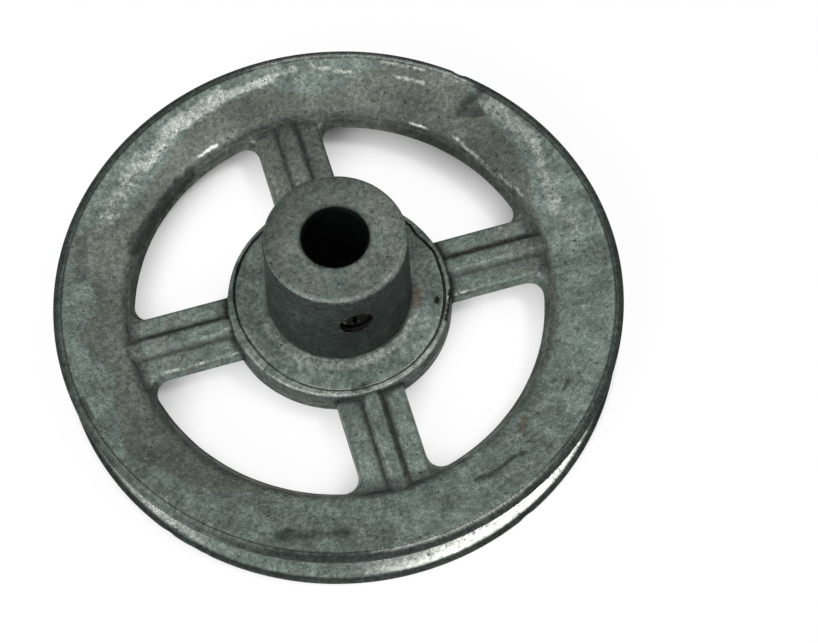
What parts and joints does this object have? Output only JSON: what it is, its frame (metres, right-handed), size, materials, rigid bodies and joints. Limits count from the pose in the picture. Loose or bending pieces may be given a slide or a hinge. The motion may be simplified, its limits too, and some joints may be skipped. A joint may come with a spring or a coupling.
{
  "type": "v belt pulley",
  "caption": "V-belt pulley with ribbed spokes and a long hub on one side, clamped to its shaft by a headless set screw.",
  "frame": {"origin": "on the axis of the bore, in the plane of the rim's back face, which the pulley rests on", "axes": "+Z along the bore axis towards the long end of the hub; two spokes along X and two along Y; the set screw faces -Y"},
  "size_m": [0.1206, 0.1206, 0.0377],
  "materials": {
    "zinc_casting": "dull as-cast zinc, grey-green, stained and scuffed",
    "dark_steel": "blackened steel, worn"
  },
  "bodies": {
    "pulley": {"pulley_casting": "zinc_casting"},
    "screw": {"set_screw": "dark_steel"}
  },
  "joints": [
    {"name": "set_screw_travel", "type": "slide", "parent": "pulley", "child": "screw", "axis": [0, 1, 0], "range_m": [-0.003, 0.0015]}
  ]
}
